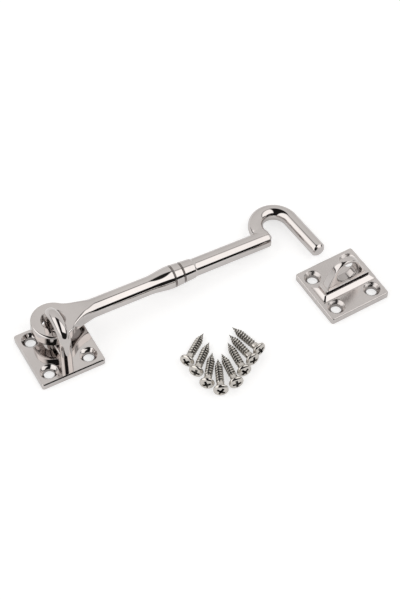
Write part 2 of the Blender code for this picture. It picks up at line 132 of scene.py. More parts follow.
def woven(points: np.ndarray, lay: np.ndarray | float = 0.0, recess: np.ndarray | float = 0.0,
          wrap: bool = False) -> Skin:
    """Join a grid of points with quads.

    Point (i, j) joins (i, j + 1), (i + 1, j + 1) and (i + 1, j).

    Args:
        points: (rows, columns, 3) places in metres.
        lay: millimetres across the polishing lines, of the grid's shape or one number.
        recess: depth in a recess from 0 to 1, of the grid's shape or one number.
        wrap: whether the last column joins the first.

    Returns:
        The skin.
    """
    rows, columns = points.shape[:2]
    number = np.arange(rows * columns).reshape(rows, columns)
    if wrap:
        number = np.hstack((number, number[:, :1]))
    corners = (number[:-1, :-1], number[:-1, 1:], number[1:, 1:], number[1:, :-1])
    faces = np.stack(corners, axis=-1).reshape(-1, 4)
    shape = (rows, columns)
    return Skin(points.reshape(-1, 3), faces, np.broadcast_to(lay, shape).reshape(-1).copy(),
                np.broadcast_to(recess, shape).reshape(-1).copy())


def joined(skins: list[Skin]) -> Skin:
    """Put several skins into one.

    Args:
        skins: the skins, in order.

    Returns:
        One skin that holds them all.
    """
    starts = np.cumsum([0] + [len(skin.points) for skin in skins[:-1]])
    return Skin(np.vstack([skin.points for skin in skins]),
                np.vstack([skin.faces + start for skin, start in zip(skins, starts)]),
                np.concatenate([skin.lay for skin in skins]),
                np.concatenate([skin.recess for skin in skins]))


def soft_ramp(value: np.ndarray | float) -> np.ndarray:
    """Ramp softly from 0 to 1: the clipped value t gives 3t^2 - 2t^3.

    Args:
        value: the place on the ramp.

    Returns:
        The ramp's height there.
    """
    t = np.clip(value, 0.0, 1.0)
    return t * t * (3.0 - 2.0 * t)


def runs(*stops: tuple[float, int]) -> np.ndarray:
    """List places that run evenly from stop to stop.

    Args:
        stops: (place, steps to the next stop) pairs; the last one's steps are unused.

    Returns:
        The places, each stop once.
    """
    parts = [np.linspace(low, high, steps, endpoint=False)
             for (low, steps), (high, _) in zip(stops, stops[1:])]
    return np.concatenate(parts + [np.array([stops[-1][0]])])


def turned(radii: np.ndarray, heights: np.ndarray, steps: int, recess: np.ndarray | float = 0.0,
           lay: np.ndarray | None = None) -> Skin:
    """Turn a profile about Z: point (i, j) stands at its radius and height, at angle j.

    Args:
        radii: radius of each profile point; 0 closes the shape in a pole.
        heights: height of each profile point.
        steps: facets round the axis.
        recess: depth in a recess of each profile point.
        lay: millimetres across the polishing lines; the radius if it is left out.

    Returns:
        The skin.
    """
    angle = np.linspace(0.0, 2.0 * math.pi, steps, endpoint=False)
    points = np.stack((np.outer(radii, np.cos(angle)), np.outer(radii, np.sin(angle)),
                       np.broadcast_to(heights[:, None], (len(heights), steps))), axis=-1)
    across = radii / MM if lay is None else lay
    deep = np.broadcast_to(recess, radii.shape)
    return woven(points, across[:, None], deep[:, None], wrap=True)


def bar(path: np.ndarray, tangents: np.ndarray, radii: np.ndarray, flat_axis: np.ndarray,
        steps: int) -> Skin:
    """Carry a circle along a plane path, each circle square to the path's direction.

    Args:
        path: (count, 3) centre points in metres.
        tangents: (count, 3) unit directions of the path.
        radii: (count,) radius at each point; 0 closes an end.
        flat_axis: unit normal of the path's plane.
        steps: facets round the bar.

    Returns:
        The skin.
    """
    angle = np.linspace(0.0, 2.0 * math.pi, steps, endpoint=False)
    side = np.cross(tangents, flat_axis)
    reach = (np.cos(angle)[None, :, None] * side[:, None, :]
             + np.sin(angle)[None, :, None] * flat_axis[None, None, :])
    points = path[:, None, :] + radii[:, None, None] * reach
    around = np.abs(angle - math.pi)[None, :] * radii.max() / MM
    return woven(points, around, 0.0, wrap=True)


def clean_mesh(name: str, skin: Skin) -> bpy.types.Mesh:
    """Make a closed mesh of a skin: seams and poles are merged, and faces point out.

    Args:
        name: the mesh's name.
        skin: the surface.

    Returns:
        The mesh.
    """
    mesh = bpy.data.meshes.new(name)
    mesh.from_pydata(skin.points.tolist(), [], skin.faces.tolist())
    for label, values in (("lay", skin.lay), ("recess", skin.recess)):
        layer = mesh.attributes.new(label, "FLOAT", "POINT")
        layer.data.foreach_set("value", values.astype(np.float32))
    shape = bmesh.new()
    shape.from_mesh(mesh)
    bmesh.ops.remove_doubles(shape, verts=shape.verts, dist=0.0015 * MM)
    bmesh.ops.dissolve_degenerate(shape, edges=shape.edges, dist=0.0005 * MM)
    bmesh.ops.recalc_face_normals(shape, faces=shape.faces)
    shape.to_mesh(mesh)
    shape.free()
    return mesh


def point_values(mesh: bpy.types.Mesh, label: str) -> np.ndarray:
    """Return a number or a place for each point of a mesh.

    Args:
        mesh: the mesh.
        label: "position" for the places, otherwise the name of a number.

    Returns:
        (count, 3) places or (count,) numbers.
    """
    wide, part = (3, "vector") if label == "position" else (1, "value")
    values = np.zeros(len(mesh.vertices) * wide, dtype=np.float32)
    mesh.attributes[label].data.foreach_get(part, values)
    return values.reshape(-1, wide) if wide > 1 else values


def origins(points: np.ndarray, sources: np.ndarray) -> np.ndarray:
    """Find the source point that each point came from.

    Equal places match exactly. A new point takes the source at the least distance,
    whose square is |p|^2 - 2 p.s + |s|^2 with the same |p|^2 for all sources.

    Args:
        points: (count, 3) places.
        sources: (sources, 3) places.

    Returns:
        (count,) source numbers.
    """
    first, group = np.unique(np.vstack((sources, points)), axis=0, return_index=True,
                             return_inverse=True)[1:]
    found = first[group.reshape(-1)[len(sources):]]
    new = np.flatnonzero(found >= len(sources))
    square = (sources ** 2).sum(axis=1)
    for some in np.array_split(new, max(len(new) // 64, 1)):
        if len(some):
            found[some] = (square - 2.0 * points[some] @ sources.T).argmin(axis=1)
    return found


def combined(base: bpy.types.Mesh, tools: list[bpy.types.Mesh], cut: Cut) -> bpy.types.Mesh:
    """Cut closed meshes from a mesh, or add them to it.

    Each point of the new mesh keeps the numbers of the point it came from.

    Args:
        base: the mesh that is worked on.
        tools: the meshes that cut or join it.
        cut: which of the two.

    Returns:
        The new mesh.
    """
    work = bpy.data.objects.new("work", base)
    bpy.context.scene.collection.objects.link(work)
    helpers = []
    for tool in tools:
        helper = bpy.data.objects.new("helper", tool)
        bpy.context.scene.collection.objects.link(helper)
        helpers.append(helper)
        step = work.modifiers.new("step", "BOOLEAN")
        step.operation = cut.value
        step.solver = "EXACT"
        step.object = helper
    seen = bpy.context.evaluated_depsgraph_get()
    mesh = bpy.data.meshes.new_from_object(work.evaluated_get(seen))
    sources = [base] + tools
    origin = origins(point_values(mesh, "position").astype(np.float64),
                     np.vstack([point_values(item, "position") for item in sources]
                               ).astype(np.float64))
    for label in ("lay", "recess"):
        values = np.concatenate([point_values(item, label) for item in sources])
        mesh.attributes[label].data.foreach_set("value", values[origin])
    for item in [work] + helpers:
        bpy.data.objects.remove(item, do_unlink=True)
    mesh.materials.clear()
    return mesh


def add_piece(name: str, mesh: bpy.types.Mesh, finish: "MetalFinish", body: Body,
              nodes: tuple[str, ...], crease: float = 38.0) -> bpy.types.Object:
    """Put a finished mesh into the scene as a piece.

    Args:
        name: the piece's name.
        mesh: its mesh, in the row frame.
        finish: its finish.
        body: the CAD body that it rides on.
        nodes: the CAD nodes that it stands for.
        crease: angle in degrees past which an edge stays sharp.

    Returns:
        The piece.
    """
    piece = bpy.data.objects.new(name, mesh)
    mesh.name = name
    bpy.context.scene.collection.objects.link(piece)
    mesh.materials.append(finish.material())
    mesh.shade_smooth()
    mesh.set_sharp_from_angle(angle=math.radians(crease))
    even = piece.modifiers.new("even_normals", "WEIGHTED_NORMAL")
    even.keep_sharp = True
    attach(piece, body.value)
    if nodes:
        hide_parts(*nodes)
    LOG.info("%s: %d points, %d faces, rides on %s", name, len(mesh.vertices),
             len(mesh.polygons), body.value)
    return piece


# Shader nodes


def math_node(tree: bpy.types.NodeTree, operation: str, first: bpy.types.NodeSocket,
              second: bpy.types.NodeSocket | float) -> bpy.types.NodeSocket:
    """Add a node that works out a sum, product or the like.

    Args:
        tree: the node tree.
        operation: the node's operation.
        first: its first value.
        second: its second value, or a number.

    Returns:
        The outcome.
    """
    node = tree.nodes.new("ShaderNodeMath")
    node.operation = operation
    tree.links.new(first, node.inputs[0])
    if isinstance(second, float):
        node.inputs[1].default_value = second
    else:
        tree.links.new(second, node.inputs[1])
    return node.outputs[0]


def range_node(tree: bpy.types.NodeTree, value: bpy.types.NodeSocket, span: tuple[float, float],
               levels: tuple[float, float], soft: bool = False) -> bpy.types.NodeSocket:
    """Add a node that carries a value from one range into another.

    Args:
        tree: the node tree.
        value: the value.
        span: the range that it comes from, past which it is held.
        levels: what the ends of the range become.
        soft: whether it eases in and out between them.

    Returns:
        The carried value.
    """
    node = tree.nodes.new("ShaderNodeMapRange")
    node.interpolation_type = "SMOOTHSTEP" if soft else "LINEAR"
    for index, number in enumerate((*span, *levels), start=1):
        node.inputs[index].default_value = number
    tree.links.new(value, node.inputs[0])
    return node.outputs[0]


# Finishes


@dataclass(frozen=True)
class MetalFinish:
    """A plated and polished metal.

    Attributes:
        name: the material's name.
        slot: the record's material slot; not used.
        colour: the plating's colour.
        shade_colour: painted shade, the colour mixed in deep in grooves and holes.
        roughness: the roughness of open metal.
        smudge: how much roughness drifts across the surface.
        line_height: height of the polishing lines in millimetres.
        ripple_height: height of the plating's ripple in millimetres.
        drift_scale: waves per metre of the slow drift in tone.
        mottle_scale: waves per metre of the fine drift in roughness.
        ripple_scale: waves per metre of the ripple.
        line_scale: polishing lines per millimetre.
        tones: darkest and brightest tone, as shares of the colour.
        dulling: roughness that a deep recess adds.
    """

    name: str
    slot: Slot
    colour: tuple[float, float, float]
    shade_colour: tuple[float, float, float]
    roughness: float
    smudge: float
    line_height: float
    ripple_height: float
    drift_scale: float = 55.0
    mottle_scale: float = 900.0
    ripple_scale: float = 260.0
    line_scale: float = 9.0
    tones: tuple[float, float] = (0.94, 1.03)
    dulling: float = 0.16

    def material(self) -> bpy.types.Material:
        """Return the material, made once and then shared."""
        return bpy.data.materials.get(self.name) or self._made()

    def _made(self) -> bpy.types.Material:
        """Build the node tree: tone and roughness drift, painted shade in recesses, and two fine
        bumps.

        Returns:
            The new material.
        """
        material = bpy.data.materials.new(self.name)
        material.use_nodes = True
        tree = material.node_tree
        shader = tree.nodes["Principled BSDF"]
        shader.inputs["Metallic"].default_value = 1.0
        place = tree.nodes.new("ShaderNodeTexCoord").outputs["Object"]
        drift = self._noise(tree, place, self.drift_scale, 3.0)
        mottle = self._noise(tree, place, self.mottle_scale, 4.0)
        tone = range_node(tree, drift, (0.30, 0.70), self.tones)
        recess = self._attribute(tree, "recess")
        # painted shade: the metal's colour is mixed towards a dark colour as the recess value grows
        colour = tree.nodes.new("ShaderNodeMix")
        colour.data_type = "RGBA"
        colour.inputs["A"].default_value = (*self.colour, 1.0)
        colour.inputs["B"].default_value = (*self.shade_colour, 1.0)
        tree.links.new(recess, colour.inputs["Factor"])
        toned = tree.nodes.new("ShaderNodeVectorMath")
        toned.operation = "SCALE"
        tree.links.new(colour.outputs["Result"], toned.inputs[0])
        tree.links.new(tone, toned.inputs["Scale"])
        tree.links.new(toned.outputs[0], shader.inputs["Base Color"])
        polish = range_node(tree, mottle, (0.35, 0.75),
                            (self.roughness, self.roughness + self.smudge))
        dull = math_node(tree, "MULTIPLY", recess, self.dulling)
        tree.links.new(math_node(tree, "ADD", polish, dull), shader.inputs["Roughness"])
        tree.links.new(self._bumps(tree, place), shader.inputs["Normal"])
        return material

    def _bumps(self, tree: bpy.types.NodeTree, place: bpy.types.NodeSocket
               ) -> bpy.types.NodeSocket:
        """Stack the plating's ripple and the polishing lines.

        Args:
            tree: the node tree.
            place: the object coordinates.

        Returns:
            The bent normal.
        """
        lay = self._attribute(tree, "lay")
        lines = tree.nodes.new("ShaderNodeTexNoise")
        lines.noise_dimensions = "1D"
        lines.inputs["Scale"].default_value = self.line_scale
        lines.inputs["Detail"].default_value = 3.0
        tree.links.new(lay, lines.inputs["W"])
        ripple = self._noise(tree, place, self.ripple_scale, 2.0)
        normal = None
        for height, source in ((self.ripple_height, ripple), (self.line_height, lines.outputs[0])):
            bump = tree.nodes.new("ShaderNodeBump")
            bump.inputs["Strength"].default_value = 1.0
            bump.inputs["Distance"].default_value = height * MM
            tree.links.new(source, bump.inputs["Height"])
            if normal is not None:
                tree.links.new(normal, bump.inputs["Normal"])
            normal = bump.outputs["Normal"]
        return normal

    @staticmethod
    def _attribute(tree: bpy.types.NodeTree, name: str) -> bpy.types.NodeSocket:
        """Return a mesh attribute's value."""
        node = tree.nodes.new("ShaderNodeAttribute")
        node.attribute_name = name
        return node.outputs["Fac"]

    @staticmethod
    def _noise(tree: bpy.types.NodeTree, place: bpy.types.NodeSocket, scale: float,
               detail: float) -> bpy.types.NodeSocket:
        """Return a noise over the piece, scale in waves per metre."""
        node = tree.nodes.new("ShaderNodeTexNoise")
        node.inputs["Scale"].default_value = scale
        node.inputs["Detail"].default_value = detail
        tree.links.new(place, node.inputs["Vector"])
        return node.outputs[0]


# Each finish's second colour is painted shade, mixed in by the recess value in grooves, holes,
# thread valleys and the cross recess.
POLISHED_NICKEL = MetalFinish("polished_nickel_plate", Slot.NICKEL, (0.655, 0.62, 0.605),
                              (0.20, 0.18, 0.17), 0.04, 0.04, 0.0003, 0.003)
BRUSHED_NICKEL = MetalFinish("softly_brushed_nickel_plate", Slot.NICKEL, (0.655, 0.62, 0.605),
                             (0.20, 0.18, 0.17), 0.21, 0.05, 0.0003, 0.003)
SCREW_NICKEL = MetalFinish("tumbled_screw_nickel", Slot.SCREW, (0.655, 0.625, 0.585),
                           (0.07, 0.068, 0.06), 0.08, 0.07, 0.0008, 0.005)
FIXING_STEEL = MetalFinish("plain_fixing_steel", Slot.STEEL, (0.55, 0.55, 0.54),
                           (0.25, 0.25, 0.25), 0.30, 0.12, 0.003, 0.008)


# Hook arm


@dataclass
class HookArm:
    """The arm that swings on the staple: ring, neck, rod with its bead, and hook.

    Sizes are in millimetres, from the ring's middle along the rod.
    """

    ring_radius: float = 11.1
    hole_radius: float = 5.9
    ring_thickness: float = 6.6
    edge_round: float = 1.0
    hole_round: float = 0.5
    neck_fillet: float = 15.0
    neck_run: float = 5.0
    neck_slack: float = 2.4
    rod_length: float = 120.3
    rod_radius_start: float = 4.75
    rod_radius_end: float = 4.5
    end_round: float = 0.6
    bead_start: float = 51.5
    bead_peak: float = 64.4
    bead_radius: float = 5.9
    groove_spacing: float = 5.2
    groove_half_width: float = 0.55
    groove_depth: float = 0.6
    collar_radius: float = 5.5
    collar_length: float = 6.4
    collar_taper: float = 0.45
    collar_cove: float = 1.2
    hook_radius: float = 3.9
    hook_setback: float = 2.5
    bend_radius: float = 9.7
    bend_offset: float = 5.0
    prong_reach: float = 19.3
    prong_lean: float = 5.0
    tip_chamfer: float = 1.0
    ring_shift: tuple[float, float] = (1.35, -0.1)
    yaw: float = 1.0
    table_gap: float = 0.3
    quarter_steps: int = 26

    def place(self) -> Matrix:
        """Return the arm's place: its ring on the pivot and its hook down on the table."""
        pivot = Vector(frame["joints"][0]["pos_m"])
        far = self.rod_length - self.hook_setback + 2.0 * self.bend_radius
        pitch = math.asin((pivot.z / MM - self.hook_radius - self.table_gap) / far)
        shift = Vector((self.ring_shift[0] * MM, self.ring_shift[1] * MM, 0.0))
        turn = Euler((0.0, pitch, math.radians(self.yaw))).to_matrix().to_4x4()
        return Matrix.Translation(pivot + shift) @ turn

    def plain_radius(self, along: np.ndarray | float) -> np.ndarray:
        """Return the rod's radius without its bead: it tapers evenly past the neck."""
        start = self.neck_end()
        share = np.clip((along - start) / (self.rod_length - start), 0.0, 1.0)
        return self.rod_radius_start * (1.0 - share) + self.rod_radius_end * share

    def radius(self, along: np.ndarray) -> np.ndarray:
        """Return the rod's radius with its bead.

        The bead swells softly to its peak and ends in a collar that steps down to the
        rod. Each of two grooves takes away a half round of its own depth.

        Args:
            along: places along the rod.

        Returns:
            The radius at each place.
        """
        plain = self.plain_radius(along)
        first = self.bead_peak + self.groove_half_width
        second = first + self.groove_spacing
        end = second + self.collar_length
        swell = plain + (self.bead_radius - plain) * soft_ramp(
            (along - self.bead_start) / (self.bead_peak - self.bead_start))
        slope = np.interp(along, (first, second, end),
                          (self.bead_radius, self.collar_radius,
                           self.collar_radius - self.collar_taper))
        radius = np.where(along < first, swell, slope)
        fall = np.clip((end + self.collar_cove - along) / self.collar_cove, 0.0, 1.0)
        radius = np.where(along > end, plain + (radius - plain) * fall ** 2, radius)
        for middle in (first, second):
            t = np.clip((along - middle) / self.groove_half_width, -1.0, 1.0)
            radius = radius - self.groove_depth * np.sqrt(1.0 - t * t)
        return radius

    def groove_share(self, along: np.ndarray) -> np.ndarray:
        """Return 1 in the middle of a groove and 0 past its edges."""
        first = self.bead_peak + self.groove_half_width
        middles = np.array((first, first + self.groove_spacing))
        near = np.abs(along[:, None] - middles[None, :]).min(axis=1)
        return np.clip(1.3 - near / self.groove_half_width, 0.0, 1.0)

    def fillet_middle(self) -> tuple[float, float]:
        """Return the middle of the round that joins the ring to the rod, on the +y side."""
        y = self.rod_radius_start + self.neck_fillet
        return math.sqrt((self.ring_radius + self.neck_fillet) ** 2 - y * y), y

    def neck_end(self) -> float:
        """Return where the flattened top has turned into the round rod."""
        return self.fillet_middle()[0] + self.neck_run

    def top_height(self, x: np.ndarray) -> np.ndarray:
        """Return the neck's top over the middle plane: it climbs from ring to rod."""
        low = self.ring_thickness / 2.0
        start = self.hole_radius + self.hole_round
        end = self.fillet_middle()[0]
        return low + (self.rod_radius_start - low) * soft_ramp((x - start) / (end - start))

    def edge_radius(self, x: np.ndarray) -> np.ndarray:
        """Return the rounding along the outline: small on the ring, the rod's own beyond."""
        start = self.ring_radius * 0.55
        grown = soft_ramp((x - start) / (self.neck_end() - start)) ** self.neck_slack
        return self.edge_round + (self.rod_radius_start - self.edge_round) * grown

    def strip(self, outline: np.ndarray, inward: np.ndarray, depth: np.ndarray) -> np.ndarray:
        """Return the upper surface over lines that run inward from the outline.

        Each line climbs a short upright wall, turns over a quarter round of the edge
        radius and then follows the top to the line's end. Points lie evenly along it.

        Args:
            outline: (lines, 2) points on the outline.
            inward: (lines, 2) unit directions in plan.
            depth: (lines,) length of each line in plan.

        Returns:
            (lines, quarter_steps + 1, 3) points in millimetres.
        """
        edge = np.minimum(self.edge_radius(outline[:, 0]), depth)
        top = np.maximum(self.top_height(outline[:, 0]), edge)
        wall = top - edge
        length = wall + edge * math.pi / 2.0 + (depth - edge)
        run = np.linspace(0.0, 1.0, self.quarter_steps + 1)[None, :] * length[:, None]
        turn = np.clip((run - wall[:, None]) / edge[:, None], 0.0, math.pi / 2.0)
        past = np.maximum(run - (wall + edge * math.pi / 2.0)[:, None], 0.0)
        inset = edge[:, None] * (1.0 - np.cos(turn)) + past
        height = np.minimum(run, wall[:, None]) + edge[:, None] * np.sin(turn)
        plan = outline[:, None, :] + inward[:, None, :] * inset[:, :, None]
        climb = (self.top_height(plan[:, :, 0]) - self.top_height(outline[:, :1])) * np.sin(turn)
        return np.concatenate((plan, (height + climb)[:, :, None]), axis=-1)

    def hole_lip(self, rim: np.ndarray) -> np.ndarray:
        """Return the ring's inner wall, from the top over a quarter round down to the middle.

        Args:
            rim: (lines, 3) points where the top meets the lip.

        Returns:
            (lines, columns, 3) points in millimetres.
        """
        turn = np.linspace(0.0, math.pi / 2.0, 6)
        inset = np.concatenate((self.hole_round * np.sin(turn), np.full(4, self.hole_round)))
        drop = self.hole_round * (1.0 - np.cos(turn))
        share = np.concatenate((np.zeros(6), np.linspace(0.0, 1.0, 5)[1:]))
        sunk = np.concatenate((drop, np.full(4, self.hole_round)))
        reach = np.linalg.norm(rim[:, :2], axis=1)
        unit = rim[:, :2] / reach[:, None]
        plan = unit[:, None, :] * (reach[:, None] - inset[None, :])[:, :, None]
        height = (rim[:, 2:3] - sunk[None, :]) * (1.0 - share[None, :])
        return np.concatenate((plan, height[:, :, None]), axis=-1)

    def split_angle(self) -> float:
        """Return the turn about the fillet's middle where its lines leave the ring's hole."""
        cx, cy = self.fillet_middle()
        return math.atan2(-cy, self.hole_radius + self.hole_round - cx) % (2.0 * math.pi)

    def ring_quarter(self) -> Skin:
        """Return a quarter of the ring: its top, edge and inner wall.

        Lines run square to the ring's circle and to the first part of the fillet's arc, and
        end on the hole.
        """
        reach = self.hole_radius + self.hole_round
        cx, cy = self.fillet_middle()
        touch = math.atan2(cy, cx)
        swing = np.radians(180.0) + (touch - math.pi) * runs((0.0, 60), (1.0, 0))
        ring = np.column_stack((np.cos(swing), np.sin(swing)))
        first = np.linspace(math.pi + touch, self.split_angle(), 24)[1:]
        fan = np.column_stack((np.cos(first), np.sin(first)))
        along = cx * fan[:, 0] + cy * fan[:, 1]
        hit = -along - np.sqrt(np.maximum(along ** 2 - (cx * cx + cy * cy - reach ** 2), 0.0))
        outline = np.vstack((self.ring_radius * ring, (cx, cy) + self.neck_fillet * fan))
        depth = np.concatenate((np.full(len(ring), self.ring_radius - reach),
                                hit - self.neck_fillet))
        top = self.strip(outline, np.vstack((-ring, fan)), depth)
        lip = self.hole_lip(top[:, -1, :])
        ring_part = np.concatenate((top, lip[:, 1:, :]), axis=1)
        lay = np.linalg.norm(ring_part[:, :, :2], axis=-1)
        # painted shade: the ring's inner wall gets a rising recess value, which darkens it
        deep = np.broadcast_to(np.concatenate((np.zeros(top.shape[1]),
                                               np.linspace(0.1, 0.5, lip.shape[1] - 1))),
                               lay.shape)
        return woven(ring_part * MM, lay, deep)

    def neck_quarter(self) -> Skin:
        """Return a quarter of the neck, from the flat ring to the round rod.

        Lines run square to the rest of the fillet's arc and to the rod's side, and end on
        the middle line.
        """
        cx, cy = self.fillet_middle()
        second = np.linspace(self.split_angle(), 1.5 * math.pi, 22)
        fan = np.column_stack((np.cos(second), np.sin(second)))
        along = np.linspace(cx, self.neck_end(), 25)[1:]
        straight = np.column_stack((along, np.full(24, self.rod_radius_start)))
        neck = self.strip(np.vstack(((cx, cy) + self.neck_fillet * fan, straight)),
                          np.vstack((fan, np.tile((0.0, -1.0), (24, 1)))),
                          np.concatenate((-cy / fan[:, 1] - self.neck_fillet,
                                          straight[:, 1])))
        return woven(neck * MM, neck[:, :, 0])

    def rod_quarter(self) -> Skin:
        """Return a quarter of the rod with its bead: a profile turned about the arm's axis."""
        end = self.rod_length
        bead = self.bead_peak
        places = runs((self.neck_end(), 24), (self.bead_start - 2.0, 48), (bead, 14),
                      (bead + 2.0 * self.groove_half_width, 20),
                      (bead + self.groove_spacing, 14),
                      (bead + self.groove_spacing + 2.0 * self.groove_half_width, 26),
                      (bead + self.groove_spacing + self.groove_half_width
                       + self.collar_length - 0.3, 20),
                      (bead + self.groove_spacing + self.groove_half_width
                       + self.collar_length + 2.0, 30), (end - self.end_round, 0))
        radii = self.radius(places)
        turn = np.linspace(0.0, math.pi / 2.0, 7)[1:]
        tip = radii[-1]
        places = np.concatenate((places, end - self.end_round * (1.0 - np.sin(turn)),
                                 np.full(4, end)))
        radii = np.concatenate((radii, tip - self.end_round * (1.0 - np.cos(turn)),
                                (tip - self.end_round) * np.array((0.8, 0.5, 0.2, 0.0))))
        angle = np.linspace(0.0, math.pi / 2.0, self.quarter_steps + 1)
        rod = np.stack((np.broadcast_to(places[:, None], (len(places), len(angle))),
                        np.outer(radii, np.cos(angle)), np.outer(radii, np.sin(angle))), axis=-1)
        # painted shade: the bead's grooves get a recess value, which darkens them
        return woven(rod * MM, places[:, None], self.groove_share(places)[:, None])

    def body_skin(self) -> Skin:
        """Return ring, neck and rod as one closed skin: a quarter and its three mirrorings."""
        quarters = (self.ring_quarter(), self.neck_quarter(), self.rod_quarter())
        return joined([part.mirrored((1, y, z)) for part in quarters
                       for y in (1, -1) for z in (1, -1)])

    def hook_skin(self) -> Skin:
        """Return the hook: a leg out of the rod's side, a round bend and a leaning prong."""
        leg = self.rod_length - self.hook_setback
        lean = math.radians(self.prong_lean)
        turn = np.linspace(math.pi, lean, 64)
        outward = np.column_stack((np.cos(turn), np.sin(turn)))
        bend = (leg + self.bend_radius, self.bend_offset) + self.bend_radius * outward
        heading = np.column_stack((outward[:, 1], -outward[:, 0]))
        run = (bend[-1, 1] + self.prong_reach) / math.cos(lean)
        chamfer = self.tip_chamfer
        backs = np.array((chamfer + 0.25, chamfer, 0.5 * chamfer, 0.12, 0.0, 0.0))
        sunk = np.array((0.0, 0.06, 0.55 * chamfer, chamfer - 0.12, chamfer, self.hook_radius))
        prong = bend[-1] + heading[-1] * np.linspace(0.0, run - chamfer - 0.25, 30)[1:-1, None]
        tip = bend[-1] + heading[-1] * (run - backs)[:, None]
        rise = np.linspace(1.0, self.bend_offset, 14)[:-1]
        start = np.column_stack((np.full(15, leg), np.concatenate(((-1.0, -1.0), rise))))
        plan = np.vstack((start, bend, prong, tip))
        tangent = np.vstack((np.tile((0.0, 1.0), (15, 1)), heading,
                             np.tile(heading[-1], (len(prong) + len(tip), 1))))
        radii = np.full(len(plan), self.hook_radius)
        swell = self.rod_radius_end - 0.05 - self.hook_radius
        radii[2:15] += swell * (1.0 - soft_ramp((rise - 1.5) / 3.5))
        radii[1] = radii[2]
        radii[0] = 0.0
        radii[-len(backs):] -= sunk
        flat = np.zeros((len(plan), 1))
        return bar(np.hstack((plan, flat)) * MM, np.hstack((tangent, flat)), radii * MM,
                   np.array((0.0, 0.0, 1.0)), 64)

    def build(self) -> None:
        """Make the arm as one closed piece and put it on its body."""
        place = self.place()
        body = clean_mesh("arm_body", self.body_skin().moved(place))
        hook = clean_mesh("arm_hook", self.hook_skin().moved(place))
        whole = combined(body, [hook], Cut.ADD)
        add_piece("swinging_arm", whole, POLISHED_NICKEL, Body.ARM, ("hook_arm",))


# Mounting plates


